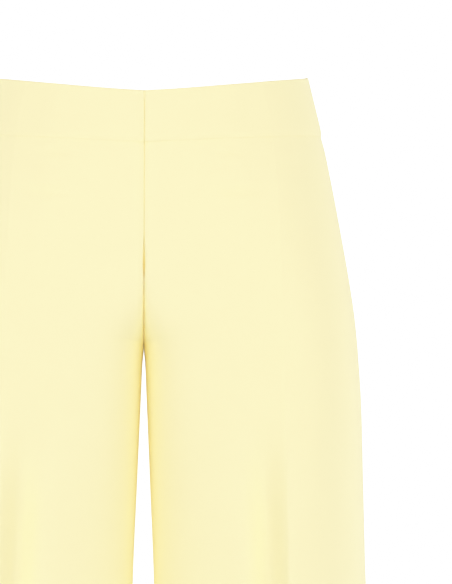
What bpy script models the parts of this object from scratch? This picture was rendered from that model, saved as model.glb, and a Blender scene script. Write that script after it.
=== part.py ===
"""Palazzo trousers, hollow and filled out as they are worn, with nothing inside them.

Metres, +Z up. The front faces -Y and +X is the wearer's left. The origin is the centre of the waist
opening, level with the waistband's top edge at the side seams.

The left half of the garment is a stack of rows, and the right half is its mirror image. A row runs from
the middle of the body (centre seam, fork or inseam) over the pressed crease to the side seam. Above the
fork it spans the body. Towards the fork the centre seam goes inwards between the thighs and curves under
the body, to the point where four panels meet. Below the fork a row goes round the thigh from the inseam,
and further down the leg comes to a soft point at its crease.
"""

import math
from collections import namedtuple

import bmesh
import bpy
import numpy as np
from mathutils import Matrix, Vector

MM = 0.001

# Cloth and seams
CLOTH = 1.5 * MM  # wall of one layer
BAND_WALL = 2.4 * MM  # outer cloth, interfacing and inner cloth of the waistband
BAND_PROUD = 0.5 * MM  # how far the waistband stands out from the panels
HEM_WALL = 2.8 * MM  # cloth turned up on itself
HEM_TURN = 40 * MM
SEAM_GAP = 0.3 * MM

# Main heights
FORK = -254 * MM
HEM = -1040 * MM
BAND_AT_SIDE = 56 * MM  # the waistband's height at the side seam

# How far the waistline lies below its level at the side seams, in the middle of the front and the back
Waistline = namedtuple("Waistline", "top_dip seam_dip")
FRONT_WAISTLINE = Waistline(26 * MM, 18 * MM)
BACK_WAISTLINE = Waistline(1 * MM, -3 * MM)
WAISTLINE_POWER = 1.42  # more keeps the middle level for longer
WAISTLINE_FADES_BY = -150 * MM  # rows from here down are level

# Half outlines. inner is the leg's reach towards the middle of the body, crease and outer are distances
# from that middle, front and back are depths from the side seam's plane.
Section = namedtuple("Section", "height inner crease outer front back")
SECTIONS = [
    Section(*(size * MM for size in row))
    for row in (
        # height, inner, crease, outer, front, back
        (0, 0, 108, 152, 92, 89),
        (-56, 0, 117, 165, 99, 99),
        (-140, 0, 122, 181, 103, 111),
        (-220, 0, 125, 194, 103, 115),
        (-254, 0, 126, 197.5, 102, 113.5),
        (-264, 1, 126.2, 198.2, 101.6, 112.9),
        (-300, 2.6, 127, 200.5, 100, 110),
        (-380, 6, 129, 202.5, 97, 104),
        (-465, 9.5, 131, 204.5, 94, 100),
        (-700, 13, 138, 214, 91, 96),
        (-1040, 13, 148, 230, 93, 99),
    )
]
INSEAM_DEPTH = 4 * MM  # the inseam lies this far behind the side seams

# How a row rounds. From the crease to the inseam it falls back by two shares of its depth, one evenly and
# one near the end. It turns in there by the superellipse power under front or back, and its outer stretch
# by the power under outer. A power of 2 gives an ellipse, and more is squarer.
Roundness = namedtuple("Roundness", "height falls_back bevel front back outer")
ROUNDNESS = [
    Roundness(row[0] * MM, *row[1:])
    for row in (
        # height in mm, falls_back, bevel, front, back, outer
        (-140, 0.00, 0.00, 8.0, 2.5, 2.3),
        (-200, 0.00, 0.10, 8.0, 2.5, 2.3),
        (-290, 0.10, 0.22, 8.0, 2.8, 2.2),
        (-400, 0.33, 0.18, 8.0, 2.9, 2.0),
        (-500, 0.46, 0.14, 8.0, 2.9, 1.9),
        (-1040, 0.52, 0.10, 7.0, 2.8, 1.8),
    )
]
FALL_POWER = 1.2  # more keeps the falling back to the inseam's end of the stretch
BEVEL_POWER = 7

# The pressed crease, a soft ridge that sharpens where the cloth falls clear of the thigh
CREASE_RISE = ((-90, 0), (-200, 1), (-330, 2.5), (-465, 5), (-700, 5.5), (-1040, 5.5))  # height, depth, mm
CREASE_WIDTH = 17 * MM
CREASE_POWER = 1.2  # less makes its top sharper
SEAM_REACH = 20 * MM  # crease and folds die out over this stretch before a seam

# Soft folds of the hanging cloth, and the trough that runs down the inner side of each crease. across is
# measured along the row from the crease, towards the side.
Fold = namedtuple("Fold", "side across top full depth width")
FOLDS = [
    Fold(row[0], *(size * MM for size in row[1:]))
    for row in (
        # side, across, top, full, depth, width
        ("front", -21, -312, -430, -13, 14),
        ("front", -23, -520, -820, 6, 18),
        ("back", -20, -300, -600, -6, 15),
        ("front", -64, -430, -900, -9, 26),
        ("front", 54, -600, -1000, -8, 22),
        ("back", -70, -330, -860, -10, 28),
        ("back", 50, -540, -980, -8, 24),
    )
]

# Rows and columns of the walls
SEAT_ROWS = 4
FORK_ROWS = 9
LEG_ROWS = 15
BAND_ROWS = 5
INNER_COLUMNS = 15
OUTER_COLUMNS = 8
COLUMN_GROWTH = 1.2  # the further from the crease, the further apart
LEG_ROW_GROWTH = 1.35  # the further down the leg, the further apart
OUTLINE_POINTS = 97

# Concealed zip in the centre-back seam
TAPE_END_ROW = 5  # the last of the panel's rows that the tapes reach
TAPE_WIDTH = 11 * MM
TAPE_WALL = 1.0 * MM
TAPE_DEPTH = 2.3 * MM  # its face, below the panels' outer face
TAPE_SLOT = 0.8 * MM  # from the seam to the tape's edge
TAPE_START = 0.25  # the share of the waistband's first row that stays bare above the tapes
SLIDER_ROW = 1  # the waistband row that the slider stands at
SLIDER_SPREAD = 1.0 * MM  # how far the seam's edges part around the slider's neck
PARTED_ROWS = 0.9  # the reach of that parting above and below, in rows
SLIDER_BODY = Vector((5.2, 2.4, 9.0)) * MM
NECK_WALL = 1.0 * MM
EYE_REACH = 2.2 * MM  # from the cloth's face to the middle of the eye
EYE_RADIUS = 1.8 * MM
EYE_HOLE = 0.95 * MM
EYE_POINTS = 15
EYE_TURN = math.radians(108)  # its rim goes this far round each way before it runs into the neck
NECK_HALF = 0.95 * EYE_RADIUS
PULL_BAR = 0.4 * MM  # half its thickness
PULL_ARM = 0.7 * MM
PULL_ROOM = 0.4 * MM  # between each arm and the eye
PULL_LENGTH = 16 * MM
PULL_WIDTH = 5.0 * MM
PULL_NECK = 2.3 * MM  # from the bar down to where the two arms join
PULL_POINTS = 13
PULL_TURN = math.radians(11)  # its round end goes this far past half a circle on each side
PULL_CLEARANCE = math.radians(3)
SHARP_FROM = math.radians(40)

CLOTH_COLOUR = (0.90, 0.83, 0.52)
ZIP_COLOUR = (0.86, 0.79, 0.50)

# fork is the height over which the centre seam curves under the body, and power is how tight the curve is
Side = namedtuple("Side", "name sign fork power waistline")
FRONT = Side("front", -1, 98 * MM, 2.2, FRONT_WAISTLINE)
BACK = Side("back", 1, 105 * MM, 2.1, BACK_WAISTLINE)


# Numbers and lines


def smooth_at(x, xs, ys):
    """A smooth curve through (xs, ys), xs rising, that never swings past its points."""
    xs, ys = np.asarray(xs, float), np.asarray(ys, float)
    width, slope = np.diff(xs), np.diff(ys) / np.diff(xs)
    tangent = np.concatenate([slope[:1], (slope[1:] + slope[:-1]) / 2, slope[-1:]])
    tangent[1:-1][slope[1:] * slope[:-1] <= 0] = 0
    limit = 3 * np.minimum(np.abs(np.r_[slope, slope[-1]]), np.abs(np.r_[slope[0], slope]))
    tangent = np.clip(tangent, -limit, limit)
    i = np.clip(np.searchsorted(xs, x) - 1, 0, len(slope) - 1)
    t = np.clip((x - xs[i]) / width[i], 0, 1)
    return (
        ys[i] * (1 + 2 * t) * (1 - t) ** 2
        + ys[i + 1] * t**2 * (3 - 2 * t)
        + width[i] * t * (1 - t) * (tangent[i] * (1 - t) - tangent[i + 1] * t)
    )


def row_at(height, table):
    """The table's row for any height, smooth between its own rows."""
    heights, *columns = zip(*table[::-1])
    return type(table[0])(height, *(smooth_at(height, heights, column) for column in columns))


def ease(t):
    """0 to 1 with level ends."""
    t = np.clip(t, 0, 1)
    return t * t * (3 - 2 * t)


def quarter(pole, flank, power):
    """A superellipse's quarter, level at pole and upright at flank."""
    angle = np.linspace(0, math.pi / 2, OUTLINE_POINTS)
    across = np.clip(np.sin(angle), 0, 1) ** (2 / power)
    along = np.clip(np.cos(angle), 0, 1) ** (2 / power)
    return np.stack(
        [pole[0] + (flank[0] - pole[0]) * across, flank[1] + (pole[1] - flank[1]) * along], axis=1
    )


def lengths_along(line):
    return np.r_[0, np.cumsum(np.linalg.norm(np.diff(line, axis=0), axis=1))]


def shared_out(line, shares):
    """Points at these shares of the line's length."""
    along = lengths_along(line)
    at = shares * along[-1]
    return np.stack([np.interp(at, along, line[:, k]) for k in range(line.shape[1])], axis=1)


def inner_columns():
    """Shares of the inner stretch, from the body's middle on, closer together at the crease."""
    return 1 - np.linspace(1, 0, INNER_COLUMNS + 1) ** COLUMN_GROWTH


def outer_columns():
    """Shares of the outer stretch, closer together at the crease."""
    return np.linspace(0, 1, OUTER_COLUMNS + 1) ** COLUMN_GROWTH


# The garment's outer face


def body_outline(side, section):
    """The outline from the body's middle to the side seam: level at first, then round."""
    depth = side.sign * getattr(section, side.name)
    level_to = max(section.crease * ease(section.height / FORK), SEAM_GAP)
    flank = (section.outer, side.sign * SEAM_GAP / 2)
    round_part = quarter((level_to, depth), flank, row_at(section.height, ROUNDNESS).outer)
    return np.concatenate([[[SEAM_GAP / 2, depth]], round_part])


def inner_stretch(side, section, outline, inwards):
    """From the centre seam, gone inwards by a share of the depth, or from the inseam, to the crease."""
    form = row_at(section.height, ROUNDNESS)
    depth = side.sign * getattr(section, side.name)
    seam_x = section.inner + SEAM_GAP / 2
    seam_y = depth + (INSEAM_DEPTH + side.sign * SEAM_GAP / 2 - depth) * inwards
    across, out = quarter((0, 1), (1, 0), getattr(form, side.name))[::-1].T
    x = section.crease + (seam_x - section.crease) * across
    level = np.interp(x, outline[:, 0], outline[:, 1])
    fallen = form.falls_back * across**FALL_POWER + form.bevel * across**BEVEL_POWER
    y = seam_y + (level - seam_y) * out * (1 - fallen)
    return shared_out(np.column_stack([x, y]), inner_columns())


def outer_stretch(section, outline):
    """From the crease on to the side seam."""
    along = lengths_along(outline)
    crease_share = np.interp(section.crease, outline[:, 0], along) / along[-1]
    return shared_out(outline, crease_share + outer_columns() * (1 - crease_share))


def fold_depths(side, height, across):
    """How far the crease and the folds move the row's points out."""
    heights, rises = np.array(CREASE_RISE[::-1], float).T * MM
    moved = smooth_at(height, heights, rises) * np.exp(-np.abs(across / CREASE_WIDTH) ** CREASE_POWER)
    for fold in FOLDS:
        if fold.side == side.name:
            grown = ease((fold.top - height) / (fold.top - fold.full))
            moved = moved + fold.depth * grown * np.exp(-(((across - fold.across) / fold.width) ** 2))
    return moved


def pushed_out(side, line, height):
    """The row with its crease and folds, which end at the seams."""
    along = lengths_along(line)
    across = along - along[INNER_COLUMNS]
    tangent = np.gradient(line, axis=0)
    normal = np.stack([tangent[:, 1], -tangent[:, 0]], axis=1) * -side.sign
    normal /= np.linalg.norm(normal, axis=1)[:, None]
    at_seams = ease(along / SEAM_REACH) * ease((along[-1] - along) / SEAM_REACH)
    return line + normal * (fold_depths(side, height, across) * at_seams)[:, None]


def fork_curve(side, height):
    """The centre seam's way under the body at a row: how far it has gone inwards, 0 to 1, and down."""
    turn = math.pi / 2 * float(np.clip(1 - (height - FORK) / side.fork, 0, 1))
    inwards = 1 - max(math.cos(turn), 0) ** (2 / side.power)
    down = FORK + side.fork * (1 - math.sin(turn) ** (2 / side.power))
    return inwards, height - down if 0 < turn < math.pi / 2 else 0.0


def row_points(side, height):
    """One row of the panels' outer face. height is its height at the side seam."""
    section = row_at(height, SECTIONS)
    inwards, drop = fork_curve(side, height)
    outline = body_outline(side, section)
    inner = inner_stretch(side, section, outline, inwards)
    line = pushed_out(side, np.concatenate([inner, outer_stretch(section, outline)[1:]]), height)
    towards_middle = np.clip(1 - inner_columns(), 0, 1) ** 2
    heights = height - drop * np.concatenate([towards_middle, np.zeros(OUTER_COLUMNS)])
    return np.column_stack([line, heights])


def waistline_dips(side, points):
    """How far the waistband's top edge and its seam lie below the side seam's level, along a row."""
    along = lengths_along(points[:, :2])
    share = 1 - (along / along[-1]) ** WAISTLINE_POWER
    return side.waistline.top_dip * share, side.waistline.seam_dip * share


def panel_heights():
    """The panel's rows at the side seam, from the waist seam down to the hem."""
    seat = np.linspace(-BAND_AT_SIDE, FORK + BACK.fork, SEAT_ROWS + 1)
    fork = np.linspace(FORK + BACK.fork, FORK, FORK_ROWS + 1)
    down = np.linspace(0, 1, LEG_ROWS + 1) ** LEG_ROW_GROWTH
    leg = FORK + (HEM + HEM_TURN - FORK) * down
    turn_up = [HEM + HEM_TURN - 2 * MM, HEM + HEM_TURN / 2, HEM]
    return np.concatenate([seat[:-1], fork[:-1], leg, turn_up])


def panel_face(side):
    """The outer face of a leg panel, as rows of points, and its wall at each row."""
    heights = panel_heights()
    rows = []
    for height in heights:
        points = row_points(side, height)
        fade = ease((height - WAISTLINE_FADES_BY) / (-BAND_AT_SIDE - WAISTLINE_FADES_BY))
        points[:, 2] -= waistline_dips(side, points)[1] * fade
        rows.append(points)
    rows[0][:, 2] -= SEAM_GAP / 2
    walls = np.where(heights < HEM + HEM_TURN - MM, HEM_WALL, CLOTH)
    return np.array(rows), walls


def band_face(side):
    """The outer face of half a waistband on one side, from its top edge down to the waist seam."""
    rows = []
    for share in np.linspace(0, 1, BAND_ROWS + 1):
        points = row_points(side, -BAND_AT_SIDE * share)
        top_dip, seam_dip = waistline_dips(side, points)
        points[:, 2] = -top_dip * (1 - share) - (BAND_AT_SIDE + seam_dip) * share
        rows.append(points)
    rows[-1][:, 2] += SEAM_GAP / 2
    return np.array(rows)


# Walls


def normals_of(face, side):
    """Outward normals of a face. Those on an edge stay in its seam's plane, so that seams stay open."""
    along_row = np.gradient(face, axis=1)
    down = np.gradient(face, axis=0)
    normal = np.cross(along_row, down) * side.sign
    normal[[0, -1], :, 2] = 0  # waist seam, top edge and hem
    normal[:, -1, 1] = 0  # side seam
    below_fork = face[:, 0, 2] < FORK + 0.01 * MM
    normal[below_fork, 0, 1] = 0  # inseam
    normal[:, 0, 0] = np.minimum(normal[:, 0, 0], 0)  # centre seam
    return normal / np.linalg.norm(normal, axis=2)[:, :, None]


def moved_in(face, side, depth):
    depth = np.broadcast_to(np.asarray(depth, float).reshape(-1, 1, 1), (len(face), 1, 1))
    return face - normals_of(face, side) * depth


def material(name, colour, roughness, metallic=0.0):
    made = bpy.data.materials.get(name) or bpy.data.materials.new(name)
    made.use_nodes = True
    shader = made.node_tree.nodes["Principled BSDF"]
    shader.inputs["Base Color"].default_value = (*colour, 1)
    shader.inputs["Roughness"].default_value = roughness
    shader.inputs["Metallic"].default_value = metallic
    return made


def add_object(name, mesh, finish):
    mesh.materials.append(finish)
    mesh.shade_smooth()
    mesh.set_sharp_from_angle(angle=SHARP_FROM)
    made = bpy.data.objects.new(name, mesh)
    bpy.context.scene.collection.objects.link(made)
    return made


def wall_between(name, outer, inner, finish):
    """A closed wall between two faces of the same rows and columns."""
    rows, columns = outer.shape[:2]
    points = np.concatenate([outer.reshape(-1, 3), inner.reshape(-1, 3)])
    start = rows * columns
    faces = []
    for i in range(rows - 1):
        for j in range(columns - 1):
            a = i * columns + j
            b, c, d = a + 1, a + columns + 1, a + columns
            faces += [(a, b, c, d), (start + d, start + c, start + b, start + a)]
    top = list(range(columns))
    right = [i * columns + columns - 1 for i in range(1, rows)]
    bottom = [(rows - 1) * columns + j for j in range(columns - 2, -1, -1)]
    left = [i * columns for i in range(rows - 2, 0, -1)]
    rim = top + right + bottom + left
    for a, b in zip(rim, rim[1:] + rim[:1]):
        faces.append((b, a, start + a, start + b))
    mesh = bpy.data.meshes.new(name)
    mesh.from_pydata([tuple(p) for p in points], [], faces)
    shape = bmesh.new()
    shape.from_mesh(mesh)
    bmesh.ops.recalc_face_normals(shape, faces=shape.faces)
    shape.to_mesh(mesh)
    shape.free()
    return add_object(name, mesh, finish)


def wall_pair(name, outer, inner, finish):
    """The piece for the wearer's left and its mirror image."""
    across = np.array([-1, 1, 1])
    wall_between(f"{name}_left", outer, inner, finish)
    wall_between(f"{name}_right", outer * across, inner * across, finish)


# Pieces


def add_panels(cloth):
    """The four leg panels, each from the waist seam to the hem, with the hem turned up inside."""
    for side in (FRONT, BACK):
        face, walls = panel_face(side)
        wall_pair(side.name, face, moved_in(face, side, walls), cloth)


def slider_parting(face):
    """The centre-back edges of the waistband part a little around the slider's neck."""
    rows = np.arange(len(face)) - SLIDER_ROW
    face[:, 0, 0] += SLIDER_SPREAD * np.exp(-((rows / PARTED_ROWS) ** 2))
    return face


def add_waistband(cloth):
    """The waistband in four stretches, two at the front and two at the back."""
    for side in (FRONT, BACK):
        face = band_face(side)
        if side is BACK:
            face = slider_parting(face)
        outer = moved_in(face, side, -BAND_PROUD)
        inner = moved_in(face, side, BAND_WALL - BAND_PROUD)
        wall_pair(f"waistband_{side.name}", outer, inner, cloth)


def strip_of(face, normals, near, far):
    """Two points of each row, at these distances from the centre seam, and the normals there."""
    points, directions = [], []
    for row, normal in zip(face, normals):
        along = lengths_along(row)
        points.append([[np.interp(d, along, row[:, k]) for k in range(3)] for d in (near, far)])
        directions.append([[np.interp(d, along, normal[:, k]) for k in range(3)] for d in (near, far)])
    return np.array(points), np.array(directions)


def add_zip_tape(finish):
    """The two tapes, inside the waistband and the upper part of the centre-back seam."""
    face = np.concatenate([band_face(BACK)[:-1], panel_face(BACK)[0][: TAPE_END_ROW + 1]])
    points, normals = strip_of(face, normals_of(face, BACK), TAPE_SLOT, TAPE_SLOT + TAPE_WIDTH)
    points[0] += (points[1] - points[0]) * TAPE_START
    wall_pair(
        "zip_tape", points - normals * TAPE_DEPTH, points - normals * (TAPE_DEPTH + TAPE_WALL), finish
    )


def slider_place():
    """The middle of the slider's eye, and the angle at which the waistband slopes there."""
    seam = band_face(BACK)[:, 0]
    below = seam[SLIDER_ROW + 1] - seam[SLIDER_ROW - 1]
    slope = math.atan2(below[1], -below[2])
    out = Vector((0, math.cos(slope), math.sin(slope)))
    return Vector((0, *seam[SLIDER_ROW, 1:])) + out * (BAND_PROUD + EYE_REACH), slope


def add_block(shape, low, high):
    """A box between two corners."""
    size, middle = high - low, (high + low) / 2
    place = Matrix.Translation(middle) @ Matrix.Diagonal((*size, 1))
    return bmesh.ops.create_cube(shape, size=1, matrix=place)["verts"]


def ring_outline(radius, count, start=0.0, stop=2 * math.pi):
    return [
        Vector((radius * math.cos(a), radius * math.sin(a)))
        for a in np.linspace(start, stop, count, endpoint=stop - start < 2 * math.pi - 0.01)
    ]


def plate_mesh(name, outline, hole, wall, to_world):
    """A flat plate with one hole. outline and hole are drawn in the plate's own plane."""
    shape = bmesh.new()
    loops = []
    for drawn in (outline, hole):
        points = [shape.verts.new((p.x, p.y, 0)) for p in drawn]
        loops.append([shape.edges.new((a, b)) for a, b in zip(points, points[1:] + points[:1])])
    filled = bmesh.ops.triangle_fill(shape, use_beauty=True, use_dissolve=False, edges=sum(loops, []))
    faces = [f for f in filled["geom"] if isinstance(f, bmesh.types.BMFace)]
    grown = bmesh.ops.extrude_face_region(shape, geom=faces)
    raised = [v for v in grown["geom"] if isinstance(v, bmesh.types.BMVert)]
    bmesh.ops.translate(shape, verts=raised, vec=(0, 0, wall))
    bmesh.ops.translate(shape, verts=shape.verts, vec=(0, 0, -wall / 2))
    bmesh.ops.transform(shape, matrix=to_world, verts=shape.verts)
    bmesh.ops.recalc_face_normals(shape, faces=shape.faces)
    mesh = bpy.data.meshes.new(name)
    shape.to_mesh(mesh)
    shape.free()
    return mesh


def box_mesh(name, low, high):
    shape = bmesh.new()
    add_block(shape, low, high)
    bmesh.ops.recalc_face_normals(shape, faces=shape.faces)
    mesh = bpy.data.meshes.new(name)
    shape.to_mesh(mesh)
    shape.free()
    return mesh


def add_slider(finish):
    """The slider: a body inside the tapes, and a neck with an eye that comes out between the edges."""
    eye, slope = slider_place()
    body_face = -(EYE_REACH + BAND_PROUD + TAPE_DEPTH + TAPE_WALL + SEAM_GAP)
    neck_end = body_face - SLIDER_BODY.y / 2
    rim = ring_outline(EYE_RADIUS, EYE_POINTS, -EYE_TURN, EYE_TURN)
    outline = [*rim, Vector((neck_end, NECK_HALF)), Vector((neck_end, -NECK_HALF))]
    # Drawn outwards and upwards from the eye's middle, and stood in the plane of the centre-back seam.
    stood = Matrix(((0, 0, 1, 0), (1, 0, 0, 0), (0, 1, 0, 0), (0, 0, 0, 1)))
    neck = plate_mesh("zip_slider", outline, ring_outline(EYE_HOLE, EYE_POINTS), NECK_WALL, stood)
    slider = add_object("zip_slider", neck, finish)
    low = Vector((-SLIDER_BODY.x / 2, body_face - SLIDER_BODY.y, -SLIDER_BODY.z / 2))
    body = bpy.data.objects.new("slider_body", box_mesh("slider_body", low, low + SLIDER_BODY))
    bpy.context.scene.collection.objects.link(body)
    body.hide_render = True
    body.display_type = "WIRE"
    for piece in (slider, body):
        piece.location = eye
        piece.rotation_euler = (slope, 0, 0)
    join = slider.modifiers.new("body", "BOOLEAN")
    join.operation = "UNION"
    join.object = body


def pull_outline():
    """The pull tab's drop shape, hung from the middle of its bar."""
    half_top = NECK_WALL / 2 + PULL_ROOM + PULL_ARM
    shoulder_height = -PULL_NECK - 2 * PULL_ARM
    drop_radius = PULL_WIDTH / 2
    drop_middle = Vector((0, -PULL_LENGTH + drop_radius))
    ends = (-math.pi - PULL_TURN, PULL_TURN)
    drop = [drop_middle + p for p in ring_outline(drop_radius, PULL_POINTS, *ends)]
    right = [Vector((half_top, shoulder_height)), Vector((half_top, PULL_BAR))]
    left = [Vector((-half_top, PULL_BAR)), Vector((-half_top, shoulder_height))]
    return drop + right + left


def pull_window():
    """The hole under the bar, through which the slider's eye passes."""
    half = NECK_WALL / 2 + PULL_ROOM
    corners = ((-half, -PULL_BAR), (-half, -PULL_NECK), (half, -PULL_NECK), (half, -PULL_BAR))
    return [Vector(corner) for corner in corners]


def add_pull(finish):
    """The pull tab, hinged on its bar inside the slider's eye, and hanging clear of the waistband."""
    eye, slope = slider_place()
    upright = Matrix(((1, 0, 0, 0), (0, 0, 1, 0), (0, 1, 0, 0), (0, 0, 0, 1)))
    tab = plate_mesh("zip_pull", pull_outline(), pull_window(), 2 * PULL_BAR, upright)
    pull = add_object("zip_pull", tab, finish)
    pull.location = eye
    pull.rotation_euler = (slope + PULL_CLEARANCE, 0, 0)


def main():
    for old in list(bpy.data.objects):
        bpy.data.objects.remove(old)
    cloth = material("cloth", CLOTH_COLOUR, 0.9)
    tape = material("zip_tape", ZIP_COLOUR, 0.8)
    enamel = material("zip_enamel", ZIP_COLOUR, 0.4, 0.1)
    add_panels(cloth)
    add_waistband(cloth)
    add_zip_tape(tape)
    add_slider(enamel)
    add_pull(enamel)


main()
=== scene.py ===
"""The looks of the palazzo trousers: thin cloth shells in place of the plain solids, with their seams,
creases, sewing and zip, on a plain pale floor in soft light.

Metres, in the solids' own frame. The front faces -Y, +X is the wearer's left, and z = 0 is the top edge
of the waistband at the side seams. The shells repeat the solids' sections on a finer grid.
"""

import math
from collections import namedtuple

import bmesh
import bpy
import numpy as np
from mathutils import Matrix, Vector


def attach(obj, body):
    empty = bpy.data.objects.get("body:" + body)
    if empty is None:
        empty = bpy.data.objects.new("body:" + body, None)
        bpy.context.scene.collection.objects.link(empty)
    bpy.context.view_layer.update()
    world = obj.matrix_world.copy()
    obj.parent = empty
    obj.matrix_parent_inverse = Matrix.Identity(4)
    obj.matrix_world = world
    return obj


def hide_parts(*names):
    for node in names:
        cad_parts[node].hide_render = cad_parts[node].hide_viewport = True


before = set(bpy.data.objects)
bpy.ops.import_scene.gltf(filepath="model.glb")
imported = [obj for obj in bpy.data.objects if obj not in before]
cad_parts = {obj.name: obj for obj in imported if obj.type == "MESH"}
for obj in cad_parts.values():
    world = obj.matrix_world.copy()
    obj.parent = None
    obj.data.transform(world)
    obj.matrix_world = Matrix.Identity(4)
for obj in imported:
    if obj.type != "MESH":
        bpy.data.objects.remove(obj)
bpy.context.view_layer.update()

MM = 0.001

# The garment's form, as in the solids

SEAM_GAP = 0.06 * MM
FORK = -254 * MM
HEM = -1040 * MM
HEM_TURN = 40 * MM
BAND_AT_SIDE = 56 * MM
BAND_PROUD = 0.5 * MM

Waistline = namedtuple("Waistline", "top_dip seam_dip")
WAISTLINE_POWER = 1.42
WAISTLINE_FADES_BY = -150 * MM

Section = namedtuple("Section", "height inner crease outer front back")
SECTIONS = [
    Section(*(size * MM for size in row))
    for row in (
        # height, inner, crease, outer, front, back
        (0, 0, 108, 152, 92, 89),
        (-56, 0, 117, 165, 99, 99),
        (-140, 0, 122, 181, 103, 111),
        (-220, 0, 125, 194, 103, 115),
        (-254, 0, 126, 197.5, 102, 113.5),
        (-264, 1, 126.2, 198.2, 101.6, 112.9),
        (-300, 2.6, 127, 200.5, 100, 110),
        (-380, 6, 129, 202.5, 97, 104),
        (-465, 9.5, 131, 204.5, 94, 100),
        (-700, 13, 138, 214, 91, 96),
        (-1040, 13, 148, 230, 93, 99),
    )
]

# How a row rounds. From the crease to the inseam it falls back by two shares of its depth, one evenly
# and one near the end. It turns in there by the superellipse power under front or back, and its outer
# stretch by the power under outer. So the thighs are full, and lower down a leg comes to a soft point
# at its crease.
Roundness = namedtuple("Roundness", "height falls_back bevel front back outer")
ROUNDNESS = [
    Roundness(row[0] * MM, *row[1:])
    for row in (
        # height in mm, falls_back, bevel, front, back, outer
        (-140, 0.00, 0.00, 8.0, 2.5, 2.3),
        (-200, 0.00, 0.10, 8.0, 2.5, 2.3),
        (-290, 0.10, 0.22, 8.0, 2.8, 2.2),
        (-400, 0.33, 0.18, 8.0, 2.9, 2.0),
        (-500, 0.46, 0.14, 8.0, 2.9, 1.9),
        (-1040, 0.52, 0.10, 7.0, 2.8, 1.8),
    )
]
FALL_POWER = 1.2
BEVEL_POWER = 7
INSEAM_DEPTH = 4 * MM  # the inseam lies this far behind the middle
SEAM_REACH = 20 * MM  # over which folds fade out towards a seam

# The pressed crease: how far it stands out at each height, both in mm, and how it falls away beside it.
CREASE_RISE = ((-90, 0), (-200, 1), (-330, 2.5), (-465, 5), (-700, 5.5), (-1040, 5.5))
CREASE_WIDTH = 17 * MM
CREASE_POWER = 1.2

Side = namedtuple("Side", "name sign fork power waistline")
FRONT = Side("front", -1, 98 * MM, 2.2, Waistline(26 * MM, 18 * MM))
BACK = Side("back", 1, 105 * MM, 2.1, Waistline(1 * MM, -3 * MM))

# Soft folds of the hanging cloth. across is measured along the row from the crease, towards the side.
Fold = namedtuple("Fold", "side across top full depth width")
FOLDS = [
    Fold(row[0], *(size * MM for size in row[1:]))
    for row in (
        # side, across, top, full, depth, width
        ("front", -64, -430, -900, -9, 26),
        ("front", 54, -600, -1000, -8, 22),
        ("back", -70, -330, -860, -10, 28),
        ("back", 50, -540, -980, -8, 24),
        # the trough along the inner side of each crease, and a shallow one on the outer side
        ("front", -21, -312, -430, -13, 14),
        ("front", -23, -520, -820, 6, 18),
        ("back", -20, -300, -600, -6, 15),
        ("front", 26, -380, -760, -2, 12),
    )
]

# Small drag marks. across runs from the crease, length and width are spreads, tilt is from level.
Mark = namedtuple("Mark", "side across height length width tilt depth")
MARKS = [
    Mark(row[0], *(size * MM for size in row[1:5]), math.radians(row[5]), row[6] * MM)
    for row in (
        # side, across, height, length, width, tilt, depth
        ("front", -36, -116, 20, 6, 4, -2.4),
        ("front", -40, -71, 15, 4.5, -3, -1.9),
        ("front", 30, -92, 16, 5, 12, -0.5),
        ("front", -84, -205, 26, 7, -32, -1.1),
        ("front", -62, -322, 30, 9, 24, -1.2),
        ("back", -40, -104, 22, 5, -4, -0.9),
        ("back", -64, -150, 24, 6, 8, -0.7),
        ("back", -58, -268, 34, 8, 14, -1.8),
        ("back", -40, -300, 30, 8, 22, -1.4),
        ("back", 34, -118, 18, 5, -14, -0.6),
    )
]

# Cloth and sewing
CLOTH = 1.3 * MM
BAND_WALL = 2.4 * MM
HEM_WALL = 2.7 * MM
THINNEST = 0.05 * MM  # what is left of a wall at its rolled edges
SEAM_ROLL = 1.0 * MM  # radius of the cloth's edge where it turns into a seam
WAIST_ROLL = 0.15 * MM
ALLOWANCE = 12 * MM  # seam allowances, pressed open inside
ALLOWANCE_WALL = 0.8 * MM
BAND_STEP = 3.5 * MM  # over which the waistband comes to stand out, from its seam up
BAND_SEAM_DEPTH = 0.35 * MM  # the narrow groove along that seam
BAND_SEAM_WIDTH = 2.5 * MM

# The valley beside each seam. share scales all of it, and seed shifts its puckers.
Valley = namedtuple("Valley", "share seed depth width")
PANEL_MIDDLE = Valley(1.0, 1.0, 1.3 * MM, 3.5 * MM)
PANEL_SIDE = Valley(0.8, 2.3, 0.6 * MM, 4 * MM)
PANEL_WAIST = Valley(1.0, 3.7, 0.55 * MM, 9 * MM)
BAND_MIDDLE = Valley(1.0, 1.6, 0.9 * MM, 3 * MM)
BAND_SIDE = Valley(0.5, 0.4, 0.6 * MM, 4 * MM)

# The slight puckers that sewing leaves: waves along the seam, each with its share of the depth
Pucker = namedtuple("Pucker", "length share shift")
PUCKERS = (Pucker(3.1 * MM, 1, 1), Pucker(4.7 * MM, 0.8, 2.1), Pucker(7.9 * MM, 0.6, 0.7))
PUCKER_DEPTH = 0.10 * MM
PUCKER_REACH = 7 * MM

# The shells' grid: distances of columns and rows from a seam, and counts further on
NEAR_SEAM = np.array([0, 0.15, 0.35, 0.6, 0.9, 1.3, 2, 3.2, 5, 8, 11.7, 12.3, 16]) * MM
NEAR_EDGE = NEAR_SEAM[:9]
INNER_STEPS = 60
INNER_GROWTH = 1.25
OUTER_STEPS = 24
OUTER_GROWTH = 1.6
SEAT_ROWS = 66
LEG_ROWS = 138
TURN_ROWS = 9
BAND_ROWS = 26
TURN_STEP = 0.4 * MM  # either side of the turn-up's raw edge
DENSE = np.linspace(0, 1, 241)  # shares of a stretch at which its line is worked out
QUARTER_POINTS = 361

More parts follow.
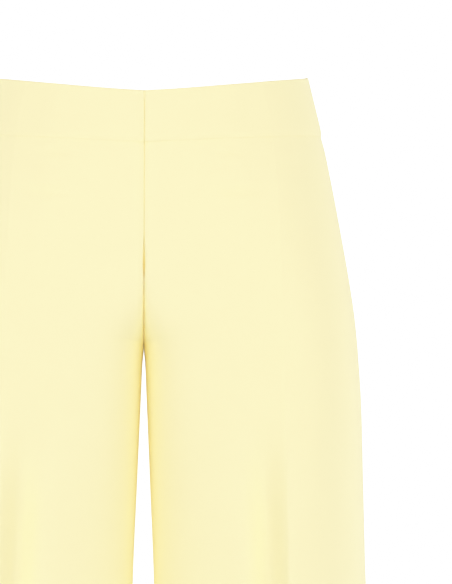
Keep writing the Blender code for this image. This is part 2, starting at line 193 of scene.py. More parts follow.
THREAD = 0.16 * MM  # its radius
THREAD_SIDES = 4
OVERLOCK_NEAR = 8.6 * MM  # from the seam to the two sides of the allowance's overlocking
OVERLOCK_FAR = 12.6 * MM
OVERLOCK_PITCH = 2.4 * MM
CATCH_PITCH = 6 * MM  # catch stitches that hold the hem's turn-up
CATCH_REACH = 2.5 * MM

# Concealed zip
TAPE_TOP = -3 * MM  # the tapes' ends, by their heights at the side seam
TAPE_END = -160 * MM
TAPE_STEPS = 70
TAPE_COLUMNS = np.array([0, 0.1, 0.4, 1.5, 4, 7, 9.6, 9.8, 10.9, 11]) * MM
TAPE_SELVAGE = 0.25 * MM  # how much thicker its woven edges are
SELVAGE_WIDTH = 1.3 * MM
TAPE_WALL = 0.7 * MM
TAPE_DEPTH = 2.4 * MM
TAPE_SLOT = 0.8 * MM
COIL_PITCH = 1.4 * MM
COIL_STEPS = 10  # points in each loop
COIL_WIRE = 0.3 * MM  # its radius
COIL_SIDES = 6
COIL_RISE = 0.54 * MM  # of a loop, either side of the coil's middle
COIL_DEPTH = 4.1 * MM  # of its middle, below the cloth's face
COIL_MIDDLE = 0.6 * MM  # of each row of loops, to one side of the seam
COIL_REACH = 0.9 * MM  # of a loop, either way from there
COIL_BELOW_SLIDER = 6 * MM
SLIDER_HEIGHT = -11.2 * MM
SLIDER_SPREAD = 1.0 * MM
SLIDER_REACH = 10 * MM  # how far along the seam the parting around the slider's neck runs
PARTING_WIDTH = 9 * MM  # and how far beside it
CASTING_EDGE = 0.18 * MM  # the radius of its edges
CASTING_SEGMENTS = 3
CASTING_SHARP_FROM = math.radians(40)


# Numbers and lines


def smooth_at(x, xs, ys):
    """A smooth curve through (xs, ys), xs rising, that never swings past its points."""
    xs, ys = np.asarray(xs, float), np.asarray(ys, float)
    width, slope = np.diff(xs), np.diff(ys) / np.diff(xs)
    tangent = np.concatenate([slope[:1], (slope[1:] + slope[:-1]) / 2, slope[-1:]])
    tangent[1:-1][slope[1:] * slope[:-1] <= 0] = 0
    limit = 3 * np.minimum(np.abs(np.r_[slope, slope[-1]]), np.abs(np.r_[slope[0], slope]))
    tangent = np.clip(tangent, -limit, limit)
    i = np.clip(np.searchsorted(xs, x) - 1, 0, len(slope) - 1)
    t = np.clip((x - xs[i]) / width[i], 0, 1)
    return (
        ys[i] * (1 + 2 * t) * (1 - t) ** 2
        + ys[i + 1] * t**2 * (3 - 2 * t)
        + width[i] * t * (1 - t) * (tangent[i] * (1 - t) - tangent[i + 1] * t)
    )


def row_at(height, table):
    """The table's row for any height, smooth between its own rows."""
    fields, columns = table[0]._fields, list(zip(*table[::-1]))
    return table[0]._replace(
        **{name: smooth_at(height, columns[0], column) for name, column in zip(fields, columns)}
    )


def ease(t):
    """0 to 1 with level ends."""
    t = np.clip(t, 0, 1)
    return t * t * (3 - 2 * t)


def bell(distance, width):
    """1 at no distance, falling away over the width."""
    return np.exp(-((distance / width) ** 2))


def quarter(pole, flank, power):
    """A superellipse's quarter, level at pole and upright at flank."""
    angle = np.linspace(0, math.pi / 2, QUARTER_POINTS)
    across = np.clip(np.sin(angle), 0, 1) ** (2 / power)
    along = np.clip(np.cos(angle), 0, 1) ** (2 / power)
    return np.stack(
        [pole[0] + (flank[0] - pole[0]) * across, flank[1] + (pole[1] - flank[1]) * along], axis=1
    )


def lengths_along(line):
    return np.r_[0, np.cumsum(np.linalg.norm(np.diff(line, axis=0), axis=1))]


def points_at(line, at):
    """Points of a line at these lengths along it."""
    along = lengths_along(line)
    return np.stack([np.interp(at, along, line[:, k]) for k in range(line.shape[1])], axis=1)


def shared_out(line, shares):
    return points_at(line, shares * lengths_along(line)[-1])


# One row of the garment's outer face


def seat_outline(side, section):
    """The body's outline at a section, from its middle to the side seam: level, then round."""
    depth = side.sign * getattr(section, side.name)
    level_to = max(section.crease * ease(section.height / FORK), SEAM_GAP)
    flank = (section.outer, side.sign * SEAM_GAP / 2)
    round_part = quarter((level_to, depth), flank, row_at(section.height, ROUNDNESS).outer)
    return np.concatenate([[[SEAM_GAP / 2, depth]], round_part])


def inner_stretch(side, section, outline, inwards):
    """From the centre seam, gone inwards by a share of the depth, or from the inseam, to the crease."""
    form = row_at(section.height, ROUNDNESS)
    depth = side.sign * getattr(section, side.name)
    seam_x = section.inner + SEAM_GAP / 2
    seam_y = depth + (INSEAM_DEPTH + side.sign * SEAM_GAP / 2 - depth) * inwards
    across, out = quarter((0, 1), (1, 0), getattr(form, side.name))[::-1].T
    x = section.crease + (seam_x - section.crease) * across
    level = np.interp(x, outline[:, 0], outline[:, 1])
    fallen = form.falls_back * across**FALL_POWER + form.bevel * across**BEVEL_POWER
    y = seam_y + (level - seam_y) * out * (1 - fallen)
    return shared_out(np.column_stack([x, y]), DENSE)


def outer_stretch(section, outline):
    """From the crease on to the side seam."""
    along = lengths_along(outline)
    crease_share = np.interp(section.crease, outline[:, 0], along) / along[-1]
    return shared_out(outline, crease_share + DENSE * (1 - crease_share))


def fork_curve(side, height):
    """The centre seam's way under the body at a row: how far it has gone inwards, 0 to 1, and down."""
    turn = math.pi / 2 * float(np.clip(1 - (height - FORK) / side.fork, 0, 1))
    inwards = 1 - max(math.cos(turn), 0) ** (2 / side.power)
    down = FORK + side.fork * (1 - math.sin(turn) ** (2 / side.power))
    return inwards, height - down if 0 < turn < math.pi / 2 else 0.0


def crease_and_folds(side, height, across):
    heights, rises = np.array(CREASE_RISE[::-1], float).T * MM
    beside_crease = np.exp(-np.abs(across / CREASE_WIDTH) ** CREASE_POWER)
    moved = smooth_at(height, heights, rises) * beside_crease
    for fold in FOLDS:
        if fold.side == side.name:
            grown = ease((fold.top - height) / (fold.top - fold.full))
            moved = moved + fold.depth * grown * bell(across - fold.across, fold.width)
    for mark in MARKS:
        if mark.side == side.name:
            right, up = across - mark.across, height - mark.height
            along = (right * math.cos(mark.tilt) + up * math.sin(mark.tilt)) / mark.length
            off = (up * math.cos(mark.tilt) - right * math.sin(mark.tilt)) / mark.width
            moved = moved + mark.depth * np.exp(-(along**2) - off**2)
    return moved


def row_curve(side, height):
    """A row as a dense line in space, and the length along it at which the crease stands."""
    section = row_at(height, SECTIONS)
    inwards, drop = fork_curve(side, height)
    outline = seat_outline(side, section)
    inner = inner_stretch(side, section, outline, inwards)
    line = np.concatenate([inner, outer_stretch(section, outline)[1:]])
    along = lengths_along(line)
    tangent = np.gradient(line, axis=0)
    normal = np.stack([tangent[:, 1], -tangent[:, 0]], axis=1) * -side.sign
    normal /= np.linalg.norm(normal, axis=1)[:, None]
    at_seams = ease(along / SEAM_REACH) * ease((along[-1] - along) / SEAM_REACH)
    across = along - along[len(DENSE) - 1]
    line = line + normal * (crease_and_folds(side, height, across) * at_seams)[:, None]
    middle_drop = drop * np.concatenate([(1 - DENSE) ** 2, np.zeros(len(DENSE) - 1)])
    curve = np.column_stack([line, height - middle_drop])
    return curve, lengths_along(curve)[len(DENSE) - 1]


def row_stops(total, crease):
    """Lengths along a row at which the grid has its columns: close together at seams and the crease."""
    inner = 1 - (1 - np.linspace(0, 1, INNER_STEPS + 1)) ** INNER_GROWTH
    inner = NEAR_SEAM[-1] + (crease - NEAR_SEAM[-1]) * inner
    outer = np.linspace(0, 1, OUTER_STEPS + 1) ** OUTER_GROWTH
    outer = crease + (total - NEAR_SEAM[-1] - crease) * outer
    return np.concatenate([NEAR_SEAM[:-1], inner, outer[1:], total - NEAR_SEAM[-2::-1]])


Grid = namedtuple("Grid", "points from_middle from_side grain")


def waistline_share(from_middle, from_side):
    """How much of the waistline's dip there is at these distances from a row's two seams."""
    return 1 - (from_middle / (from_middle + from_side)) ** WAISTLINE_POWER


def waistline_fade(height):
    """1 down to the waist seam, then less, until the rows are level."""
    return ease((height - WAISTLINE_FADES_BY) / (-BAND_AT_SIDE - WAISTLINE_FADES_BY))


def grid_of(side, heights):
    """The rows at these heights, with each point's distance from its row's two seams."""
    rows, middles, sides, grains = [], [], [], []
    for height in heights:
        curve, crease = row_curve(side, height)
        total = lengths_along(curve)[-1]
        stops = row_stops(total, crease)
        rows.append(points_at(curve, stops))
        middles.append(stops)
        sides.append(total - stops)
        grains.append(stops - crease)
    return Grid(np.array(rows), np.array(middles), np.array(sides), np.array(grains))


def normals_of(points, side):
    """Outward normals. Those on an edge stay in its seam's plane."""
    normal = np.cross(np.gradient(points, axis=1), np.gradient(points, axis=0)) * side.sign
    normal[[0, -1], :, 2] = 0
    normal[:, -1, 1] = 0
    below_fork = points[:, 0, 2] < FORK + 0.01 * MM
    normal[below_fork, 0, 1] = 0
    normal[~below_fork, 0, 0] = 0
    return normal / np.linalg.norm(normal, axis=2)[:, :, None]


# The shells' small forms


def rolled(distance, radius):
    """How deep a face has turned in at this distance from its edge, on a round edge."""
    reach = np.clip(radius - distance, 0, radius)
    return radius - np.sqrt(radius**2 - reach**2)


def seam_dip(valley, distance, along):
    """How deep the cloth lies at this distance from a seam, with the puckers along it."""
    waves = sum(
        pucker.share * np.sin(along / pucker.length + pucker.shift * valley.seed) for pucker in PUCKERS
    )
    puckers = PUCKER_DEPTH * waves * bell(distance, PUCKER_REACH)
    return valley.share * (valley.depth * bell(distance, valley.width) + puckers)


def panel_rows():
    """Heights of a panel's rows at the side seam, from the waist seam down to the hem."""
    top = -BAND_AT_SIDE
    turn_top = HEM + HEM_TURN
    seat = np.linspace(top - NEAR_EDGE[-1], FORK, SEAT_ROWS)
    leg = np.linspace(FORK, turn_top + TURN_STEP, LEG_ROWS)
    turn = np.linspace(turn_top - TURN_STEP, HEM + NEAR_EDGE[-1], TURN_ROWS)
    return np.concatenate([top - NEAR_EDGE[:-1], seat[:-1], leg, turn[:-1], HEM + NEAR_EDGE[::-1]])


def beside_seam(face, distances, distance):
    """The line on a face that runs at this distance from a seam."""
    orders = np.argsort(distances, axis=1)
    return np.array(
        [
            [np.interp(distance, row_distances[order], row[order, k]) for k in range(3)]
            for row, row_distances, order in zip(face, distances, orders)
        ]
    )


def zigzag(near, far, pitch):
    """A line that swings from one line to the other and back in each pitch."""
    along = lengths_along(near)
    at = np.arange(0, along[-1], pitch / 2)
    start = points_at(near, at)
    end = np.stack([np.interp(at, along, far[:, k]) for k in range(3)], axis=1)
    return start + (end - start) * (np.arange(len(at)) % 2)[:, None]


def panel_threads(face, heights, grid):
    """Overlocking along both allowances, and the catch stitches over the hem's raw edge."""
    above_hem = heights > HEM + HEM_TURN + CATCH_REACH
    threads = []
    for distances in (grid.from_middle, grid.from_side):
        near, far = (beside_seam(face, distances, d)[above_hem] for d in (OVERLOCK_NEAR, OVERLOCK_FAR))
        threads.append(zigzag(near, far, OVERLOCK_PITCH))
    within = slice(len(NEAR_SEAM), -len(NEAR_SEAM))
    raw_edge = HEM + HEM_TURN
    rows = [np.abs(heights - raw_edge - up).argmin() for up in (-CATCH_REACH, CATCH_REACH)]
    threads.append(zigzag(*face[rows, within], CATCH_PITCH))
    return threads


def panel_shell(side):
    """Outer and inner faces of a leg panel, its grain coordinates and its stitches."""
    heights = panel_rows()
    grid = grid_of(side, heights)
    points = grid.points
    dip = side.waistline.seam_dip * waistline_share(grid.from_middle, grid.from_side)
    points[:, :, 2] -= dip * waistline_fade(heights)[:, None]
    normals = normals_of(points, side)
    from_waist = (-BAND_AT_SIDE - heights)[:, None]
    from_hem = (heights - HEM)[:, None]
    middle_way = lengths_along(points[:, 0])[:, None]
    side_way = lengths_along(points[:, -1])[:, None]
    sunk = (
        seam_dip(PANEL_MIDDLE, grid.from_middle, middle_way)
        + seam_dip(PANEL_SIDE, grid.from_side, side_way)
        + seam_dip(PANEL_WAIST, from_waist, grid.grain)
    )
    edge = np.minimum(grid.from_middle, grid.from_side)
    in_turn = from_hem < HEM_TURN
    wall = np.where(in_turn, HEM_WALL, CLOTH)
    hem_edge = rolled(from_hem, HEM_WALL / 2)
    outside = sunk + rolled(edge, SEAM_ROLL) + rolled(from_waist, WAIST_ROLL) + hem_edge
    in_allowance = np.minimum(grid.from_middle, grid.from_side) < ALLOWANCE
    inside = sunk + wall + np.where(in_allowance & ~in_turn, ALLOWANCE_WALL, 0) - hem_edge
    inside = np.maximum(inside, outside + THINNEST)
    grain = np.stack([grid.grain, np.broadcast_to(heights[:, None], grid.grain.shape)], axis=2)
    threads = panel_threads(points - normals * (inside + THREAD)[..., None], heights, grid)
    return points - normals * outside[..., None], points - normals * inside[..., None], grain, threads


def band_shell(side):
    """Outer and inner faces of half a waistband on one side, and its grain coordinates."""
    between = np.linspace(-NEAR_EDGE[-1], NEAR_EDGE[-1] - BAND_AT_SIDE, BAND_ROWS)
    heights = np.concatenate([-NEAR_EDGE[:-1], between[:-1], NEAR_EDGE[::-1] - BAND_AT_SIDE])
    grid = grid_of(side, heights)
    points = grid.points
    share = waistline_share(grid.from_middle, grid.from_side)
    down = (-heights / BAND_AT_SIDE)[:, None]
    top, seam = side.waistline.top_dip * share, side.waistline.seam_dip * share
    points[:, :, 2] = -top * (1 - down) - (BAND_AT_SIDE + seam) * down
    if side is BACK:
        beside = bell(heights - SLIDER_HEIGHT, SLIDER_REACH)[:, None]
        points[:, :, 0] += SLIDER_SPREAD * beside * bell(grid.from_middle, PARTING_WIDTH)
    normals = normals_of(points, side)
    from_top = -heights[:, None] + 0 * grid.grain
    from_seam = (heights + BAND_AT_SIDE)[:, None] + 0 * grid.grain
    sunk = (
        seam_dip(BAND_MIDDLE, grid.from_middle, points[:, :1, 2])
        + seam_dip(BAND_SIDE, grid.from_side, points[:, -1:, 2])
        - BAND_PROUD * (1 - bell(from_seam, BAND_STEP))
        + BAND_SEAM_DEPTH * bell(from_seam, BAND_SEAM_WIDTH)
    )
    edge = np.minimum(grid.from_middle, grid.from_side)
    top_edge = rolled(from_top, BAND_WALL / 2)
    outside = sunk + rolled(edge, SEAM_ROLL) + rolled(from_seam, WAIST_ROLL) + top_edge
    inside = sunk + BAND_WALL - rolled(edge, SEAM_ROLL / 2) - top_edge
    inside = np.maximum(inside, outside + THINNEST)
    grain = np.stack([grid.grain, np.broadcast_to(heights[:, None], grid.grain.shape)], axis=2)
    return points - normals * outside[..., None], points - normals * inside[..., None], grain, []


# Meshes

SHARP_FROM = math.radians(50)
ASKEW = (0.31, 0.83, 0.46)  # a direction that no tube's line runs in


def rim_loop(rows, columns):
    """Vertex numbers around the edge of a grid."""
    top = list(range(columns))
    right = [i * columns + columns - 1 for i in range(1, rows)]
    bottom = [(rows - 1) * columns + j for j in range(columns - 2, -1, -1)]
    left = [i * columns for i in range(rows - 2, 0, -1)]
    return top + right + bottom + left


def wall_mesh(name, outer, inner, grain):
    """A closed wall between two faces of the same rows and columns, with its grain as a UV map."""
    rows, columns = outer.shape[:2]
    half = rows * columns
    a = (np.arange(rows - 1)[:, None] * columns + np.arange(columns - 1)).ravel()
    quads = np.stack([a, a + 1, a + columns + 1, a + columns], axis=1)
    rim = np.array(rim_loop(rows, columns))
    after = np.roll(rim, -1)
    sides = np.stack([after, rim, rim + half, after + half], axis=1)
    faces = np.concatenate([quads, quads[:, ::-1] + half, sides])
    mesh = bpy.data.meshes.new(name)
    points = np.concatenate([outer.reshape(-1, 3), inner.reshape(-1, 3)])
    mesh.from_pydata(points.tolist(), [], faces.tolist())
    places = np.concatenate([grain.reshape(-1, 2)] * 2)
    layer = mesh.uv_layers.new(name="grain")
    corners = np.zeros(len(mesh.loops), int)
    mesh.loops.foreach_get("vertex_index", corners)
    layer.data.foreach_set("uv", places[corners].astype(np.float32).ravel())
    return finished(mesh)


def finished(mesh):
    """Faces turned outwards and shaded smooth, apart from true edges."""
    shape = bmesh.new()
    shape.from_mesh(mesh)
    bmesh.ops.recalc_face_normals(shape, faces=shape.faces)
    shape.to_mesh(mesh)
    shape.free()
    mesh.shade_smooth()
    mesh.set_sharp_from_angle(angle=SHARP_FROM)
    return mesh


def tube_mesh(name, lines, radius, sides):
    """Closed tubes along lines of points."""
    points, faces = [], []
    for line in lines:
        start, count = len(points), len(line)
        tangent = np.gradient(line, axis=0)
        tangent /= np.linalg.norm(tangent, axis=1)[:, None]
        one = np.cross(tangent, ASKEW)
        one /= np.linalg.norm(one, axis=1)[:, None]
        other = np.cross(tangent, one)
        for k in range(sides):
            turn = 2 * math.pi * k / sides
            points += (line + radius * (one * math.cos(turn) + other * math.sin(turn))).tolist()
        corner = start + np.arange(sides)[:, None] * count + np.arange(count)
        beside = np.roll(corner, -1, axis=0)
        quads = np.stack([corner[:, :-1], beside[:, :-1], beside[:, 1:], corner[:, 1:]], axis=2)
        faces += quads.reshape(-1, 4).tolist() + corner[:, [0, -1]].T.tolist()
    mesh = bpy.data.meshes.new(name)
    mesh.from_pydata(points, [], faces)
    return finished(mesh)


def add_piece(name, mesh, finish, body="trousers"):
    mesh.materials.append(finish)
    piece = bpy.data.objects.new(name, mesh)
    bpy.context.scene.collection.objects.link(piece)
    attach(piece, body)
    return piece


# Materials


class Nodes:
    """A material under construction. Calling it adds a node, and link joins two."""

    def __init__(self, name):
        self.material = bpy.data.materials.new(name)
        self.material.use_nodes = True
        self.tree = self.material.node_tree
        self.shader = self.tree.nodes["Principled BSDF"]

    def __call__(self, kind, **values):
        node = self.tree.nodes.new(kind)
        for key, value in values.items():
            if hasattr(node, key):
                setattr(node, key, value)
            else:
                node.inputs[key.replace("_", " ").title()].default_value = value
        return node

    def link(self, start, end):
        self.tree.links.new(start, end)

    def dye(self, factor, tones):
        """Colours the shader from the first tone to the second as factor goes from 0 to 1."""
        node = self("ShaderNodeValToRGB")
        for element, tone in zip(node.color_ramp.elements, tones):
            element.color = (*tone, 1)
        self.link(factor, node.inputs["Fac"])
        self.link(node.outputs["Color"], self.shader.inputs["Base Color"])

    def bump(self, height, strength, distance):
        node = self("ShaderNodeBump", strength=strength, distance=distance)
        self.link(height, node.inputs["Height"])
        self.link(node.outputs["Normal"], self.shader.inputs["Normal"])


# Each dye's darker and lighter tone
CLOTH_DYE = (0.985, 0.93, 0.573), (0.99, 0.94, 0.588)
TAPE_DYE = (0.86, 0.78, 0.45), (0.93, 0.86, 0.53)
ENAMEL = (0.90, 0.82, 0.48), (0.94, 0.87, 0.53)
THREAD_DYE = (0.90, 0.83, 0.50), (0.97, 0.91, 0.60)


def cloth_material():
    """A smooth matte crepe: a close plain weave with a faint pebbled surface and a soft sheen."""
    nodes = Nodes("cloth")
    place = nodes("ShaderNodeTexCoord").outputs["Object"]
    grain = nodes("ShaderNodeUVMap", uv_map="grain").outputs["UV"]
    dye = nodes("ShaderNodeTexNoise", scale=9.0, detail=3.0)
    nodes.link(place, dye.inputs["Vector"])
    nodes.dye(dye.outputs["Fac"], CLOTH_DYE)
    pebble = nodes("ShaderNodeTexNoise", scale=1500.0, detail=2.0)
    nodes.link(place, pebble.inputs["Vector"])
    weave = nodes("ShaderNodeTexWave", scale=420.0, distortion=0.6)
    weave.bands_direction = "DIAGONAL"
    nodes.link(grain, weave.inputs["Vector"])
    height = nodes("ShaderNodeMix", factor=0.35)
    nodes.link(pebble.outputs["Fac"], height.inputs[2])
    nodes.link(weave.outputs["Fac"], height.inputs[3])
    nodes.bump(height.outputs[0], 0.25, 0.15 * MM)
    nodes.shader.inputs["Roughness"].default_value = 0.85
    nodes.shader.inputs["Specular IOR Level"].default_value = 0.15
    nodes.shader.inputs["Sheen Weight"].default_value = 0.2
    nodes.shader.inputs["Sheen Roughness"].default_value = 0.5
    return nodes.material


def tape_material():
    """Woven zip tape, ribbed along its length."""
    nodes = Nodes("zip_tape")
    grain = nodes("ShaderNodeUVMap", uv_map="grain").outputs["UV"]
    ribs = nodes("ShaderNodeTexWave", scale=220.0)
    ribs.bands_direction = "X"
    nodes.link(grain, ribs.inputs["Vector"])
    nodes.dye(ribs.outputs["Fac"], TAPE_DYE)
    nodes.bump(ribs.outputs["Fac"], 0.5, 0.1 * MM)
    nodes.shader.inputs["Roughness"].default_value = 0.8
    return nodes.material


def enamel_material():
    """Satin enamel on the zip's metal, matched to the cloth."""
    nodes = Nodes("zip_enamel")
    place = nodes("ShaderNodeTexCoord").outputs["Object"]
    orange_peel = nodes("ShaderNodeTexNoise", scale=900.0, detail=2.0)
    nodes.link(place, orange_peel.inputs["Vector"])
    nodes.dye(orange_peel.outputs["Fac"], ENAMEL)
    nodes.bump(orange_peel.outputs["Fac"], 0.15, 0.05 * MM)
    nodes.shader.inputs["Roughness"].default_value = 0.35
    return nodes.material


def thread_material():
    """Spun polyester thread, twisted."""
    nodes = Nodes("thread")
    place = nodes("ShaderNodeTexCoord").outputs["Object"]
    twist = nodes("ShaderNodeTexNoise", scale=2500.0, detail=1.0)
    nodes.link(place, twist.inputs["Vector"])
    nodes.dye(twist.outputs["Fac"], THREAD_DYE)
    nodes.shader.inputs["Roughness"].default_value = 0.6
    return nodes.material


# Pieces

# Each piece's cut, with no allowances or hem: its widest, its height and its area.
Cut = namedtuple("Cut", "width length area")
MIRROR = np.array([-1, 1, 1])


def add_pair(stem, shell, finish, thread):
    """The piece for the wearer's left and its mirror image, each standing for its own solid."""
    outer, inner, grain, stitches = shell
    for hand, across in (("left", 1), ("right", MIRROR)):
        node = f"{stem}_{hand}"
        wall = wall_mesh(node, outer * across, inner * across, grain)
        piece = add_piece(f"{node}_cloth", wall, finish)
        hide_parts(node)
        if stitches:
            lines = [line * across for line in stitches]
            sewing = tube_mesh(f"{node}_sewing", lines, THREAD, THREAD_SIDES)
            add_piece(f"{node}_sewing", sewing, thread)


def add_cloth(finish, thread):
    add_pair("waistband_front", band_shell(FRONT), finish, thread)
    add_pair("waistband_back", band_shell(BACK), finish, thread)
    add_pair("front", panel_shell(FRONT), finish, thread)
    add_pair("back", panel_shell(BACK), finish, thread)


def seam_rows(heights, distances, parted):
    """Points on the back's outer face at these heights and distances from the centre-back seam."""
    rows = []
    for height in heights:
        row = points_at(row_curve(BACK, height)[0], distances)
        dips = np.interp(height, (-BAND_AT_SIDE, 0), (BACK.waistline.seam_dip, BACK.waistline.top_dip))
        row[:, 2] -= dips * waistline_fade(height)
        row[:, 0] += parted * bell(height - SLIDER_HEIGHT, SLIDER_REACH)
        rows.append(row)
    return np.array(rows)


def add_zip_tapes(finish):
    """The two woven tapes, a little thicker along their edges."""
    heights = np.linspace(TAPE_TOP, TAPE_END, TAPE_STEPS)
    points = seam_rows(heights, TAPE_SLOT + TAPE_COLUMNS, SLIDER_SPREAD)
    normals = np.cross(np.gradient(points, axis=1), np.gradient(points, axis=0))
    normals /= np.linalg.norm(normals, axis=2)[:, :, None]
    beside = np.minimum(TAPE_COLUMNS, TAPE_COLUMNS[-1] - TAPE_COLUMNS)
    selvage = np.where((beside > 0) & (beside < SELVAGE_WIDTH), TAPE_SELVAGE, 0)[None, :, None]
    outer = points - normals * TAPE_DEPTH
    inner = points - normals * (TAPE_DEPTH + TAPE_WALL + selvage)
    grain = np.stack(np.meshgrid(TAPE_COLUMNS, heights), axis=2)
    for hand, across in (("left", 1), ("right", MIRROR)):
        node = f"zip_tape_{hand}"
        wall = wall_mesh(node, outer * across, inner * across, grain)
        tape = add_piece(f"{node}_weave", wall, finish)
        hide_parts(node)


def add_zip_coil(finish):
    """The closed coil: two rows of nylon loops behind the tapes' edges, half a pitch apart."""
    heights = np.linspace(SLIDER_HEIGHT - COIL_BELOW_SLIDER, TAPE_END, TAPE_STEPS)
    way = seam_rows(heights, np.zeros(1), 0)[:, 0]
    length = lengths_along(way)[-1]
    lines = []
    for hand in (1, -1):
        turns = np.arange(0, length / COIL_PITCH, 1 / COIL_STEPS)
        centre = points_at(way, turns * COIL_PITCH)
        slope = np.gradient(centre, axis=0)
        inwards = np.column_stack([0 * turns, slope[:, 2], -slope[:, 1]])
        inwards /= np.linalg.norm(inwards, axis=1)[:, None]
        angle = 2 * math.pi * turns + (0 if hand > 0 else math.pi)
        line = centre + inwards * (COIL_DEPTH + COIL_RISE * np.sin(angle))[:, None]
        line[:, 0] = hand * (COIL_MIDDLE + COIL_REACH * np.cos(angle))
        lines.append(line)
    add_piece("zip_coil", tube_mesh("zip_coil", lines, COIL_WIRE, COIL_SIDES), finish)


def add_zip_metal(finish):
    """The slider and its pull tab, with their edges rounded as castings have them."""
    for node, body in (("zip_slider", "trousers"), ("zip_pull", "pull")):
        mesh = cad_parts[node].data.copy()
        mesh.materials.clear()
        piece = add_piece(f"{node}_casting", mesh, finish, body)
        rounded = piece.modifiers.new("rounded", "BEVEL")
        rounded.width = CASTING_EDGE
        rounded.segments = CASTING_SEGMENTS
        rounded.angle_limit = CASTING_SHARP_FROM
        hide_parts(node)


# Floor, light and camera

FLOOR_RADIUS = 7.0
FLOOR_POINTS = 64
FLOOR_DROP = 15 * MM  # below the hems, which hang free
FLOOR_COLOUR = (0.92, 0.955, 0.985)
FLOOR_FADE = (1.0, 3.2)  # distances over which the floor fades into the backdrop


def add_floor():
    """A plain pale floor, just below the hems."""
    shape = bmesh.new()
    bmesh.ops.create_circle(shape, cap_ends=True, radius=FLOOR_RADIUS, segments=FLOOR_POINTS)
    mesh = bpy.data.meshes.new("floor")
    shape.to_mesh(mesh)
    shape.free()
    floor = bpy.data.objects.new("floor", mesh)
    floor.location.z = HEM - FLOOR_DROP
    bpy.context.scene.collection.objects.link(floor)
    nodes = Nodes("floor")
    nodes.shader.inputs["Base Color"].default_value = (*FLOOR_COLOUR, 1)
    nodes.shader.inputs["Roughness"].default_value = 0.9
    away = nodes("ShaderNodeVectorMath", operation="LENGTH")
    nodes.link(nodes("ShaderNodeTexCoord").outputs["Object"], away.inputs[0])
    start, end = FLOOR_FADE
    fade = nodes("ShaderNodeMapRange", interpolation_type="SMOOTHSTEP", from_min=start, from_max=end)
    nodes.link(away.outputs["Value"], fade.inputs["Value"])
    mixed = nodes("ShaderNodeMixShader")
    nodes.link(fade.outputs["Result"], mixed.inputs[0])
    nodes.link(nodes.shader.outputs[0], mixed.inputs[1])
    nodes.link(nodes("ShaderNodeBsdfTransparent").outputs[0], mixed.inputs[2])
    nodes.link(mixed.outputs[0], nodes.tree.nodes["Material Output"].inputs["Surface"])
    mesh.materials.append(nodes.material)


def aimed(obj, place, target):
    obj.location = place
    obj.rotation_euler = (Vector(target) - Vector(place)).to_track_quat("-Z", "Y").to_euler()


ROOM_LIGHT = 0.47
BACKDROP_LIGHT = 1.4  # as the camera sees it: white
LIT_POINT = (0, 0, -0.45)
WARM = (1.0, 0.96, 0.925)
NEUTRAL = (1.0, 1.0, 1.0)  # at the sides, where the photo's edges are paler
Softbox = namedtuple("Softbox", "name place width height power colour")
SOFTBOXES = (
    Softbox("front", (0, -3.0, 0.7), 1.6, 1.6, 30, WARM),
    Softbox("front_left", (2.2, -2.2, 0.6), 1.2, 1.6, 16, WARM),
    Softbox("front_right", (-2.2, -2.2, 0.6), 1.2, 1.6, 16, WARM),
    Softbox("side_left", (2.2, 0.1, -0.3), 1.0, 2.0, 5, NEUTRAL),
    Softbox("side_right", (-2.2, 0.1, -0.3), 1.0, 2.0, 5, NEUTRAL),
    Softbox("back_left", (1.8, 1.2, -0.2), 1.0, 2.0, 15, NEUTRAL),
    Softbox("back_right", (-1.8, 1.2, -0.2), 1.0, 2.0, 15, NEUTRAL),
    Softbox("back", (0, 2.6, -0.4), 1.2, 1.6, 12, WARM),
    Softbox("top", (0, -0.8, 2.0), 1.5, 1.5, 4, WARM),
)


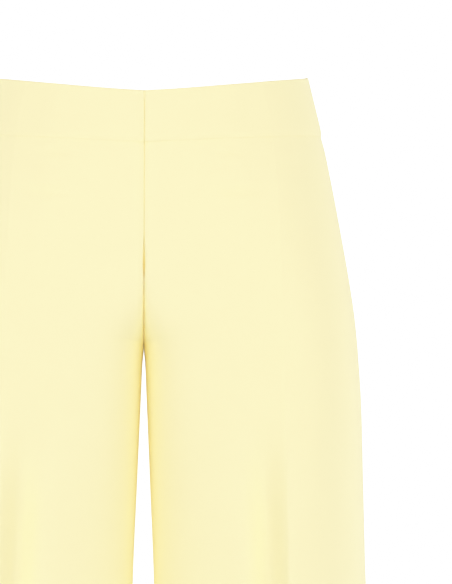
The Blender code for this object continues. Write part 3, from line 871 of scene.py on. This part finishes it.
def add_lights():
    """An even room and broad soft lights all round, the front ones the strongest."""
    world = bpy.data.worlds.new("studio")
    world.use_nodes = True
    tree = world.node_tree
    room = tree.nodes["Background"]
    room.inputs["Color"].default_value = (*WARM, 1)
    room.inputs["Strength"].default_value = ROOM_LIGHT
    backdrop = tree.nodes.new("ShaderNodeBackground")
    backdrop.inputs["Color"].default_value = (*NEUTRAL, 1)
    backdrop.inputs["Strength"].default_value = BACKDROP_LIGHT
    seen = tree.nodes.new("ShaderNodeMixShader")
    tree.links.new(tree.nodes.new("ShaderNodeLightPath").outputs["Is Camera Ray"], seen.inputs[0])
    tree.links.new(room.outputs[0], seen.inputs[1])
    tree.links.new(backdrop.outputs[0], seen.inputs[2])
    tree.links.new(seen.outputs[0], tree.nodes["World Output"].inputs["Surface"])
    bpy.context.scene.world = world
    for softbox in SOFTBOXES:
        light = bpy.data.lights.new(softbox.name, "AREA")
        light.shape = "RECTANGLE"
        light.size = softbox.width
        light.size_y = softbox.height
        light.energy = softbox.power
        light.color = softbox.colour
        lamp = bpy.data.objects.new(softbox.name, light)
        bpy.context.scene.collection.objects.link(lamp)
        aimed(lamp, softbox.place, LIT_POINT)
        lamp.visible_camera = False


CAMERA_SENSOR = 36  # mm across, and the lens's length in mm
CAMERA_LENS = 234
CAMERA_PLACE = (0, -3.5, -0.55)
CAMERA_TARGET = (0.076, 0, -0.201)


def add_camera():
    """The photo's view: from thigh height, slightly up, with one hip cut off at its left edge."""
    camera = bpy.data.cameras.new("camera")
    camera.sensor_width = CAMERA_SENSOR
    camera.lens = CAMERA_LENS
    viewer = bpy.data.objects.new("camera", camera)
    bpy.context.scene.collection.objects.link(viewer)
    aimed(viewer, CAMERA_PLACE, CAMERA_TARGET)
    bpy.context.scene.camera = viewer


# The exposure's soft shoulder: light that reaches the camera, and how bright it comes out
SHOULDER = ((0, 0), (0.6, 0.571), (0.99, 0.91), (1.1, 0.976), (1.3, 1.0))
COMBINED = 3  # the curve for all three colours


def set_exposure():
    """A plain view whose highlights roll off, as in a bright product photo."""
    settings = bpy.context.scene.view_settings
    settings.view_transform = "Standard"
    settings.use_curve_mapping = True
    white = SHOULDER[-1][0]
    settings.curve_mapping.white_level = (white, white, white)
    curve = settings.curve_mapping.curves[COMBINED]
    curve.points[0].location = SHOULDER[0]
    curve.points[1].location = (1, 1)
    for light, shown in SHOULDER[1:-1]:
        curve.points.new(light / white, shown)
    settings.curve_mapping.update()


# How often light may pass between the folds and the legs of so pale a cloth
BOUNCES = 24
DIFFUSE_BOUNCES = 16


def main():
    set_exposure()
    bpy.context.scene.cycles.max_bounces = BOUNCES
    bpy.context.scene.cycles.diffuse_bounces = DIFFUSE_BOUNCES
    add_cloth(cloth_material(), thread_material())
    tape = tape_material()
    add_zip_tapes(tape)
    add_zip_coil(tape)
    add_zip_metal(enamel_material())
    add_floor()
    add_lights()
    add_camera()


main()
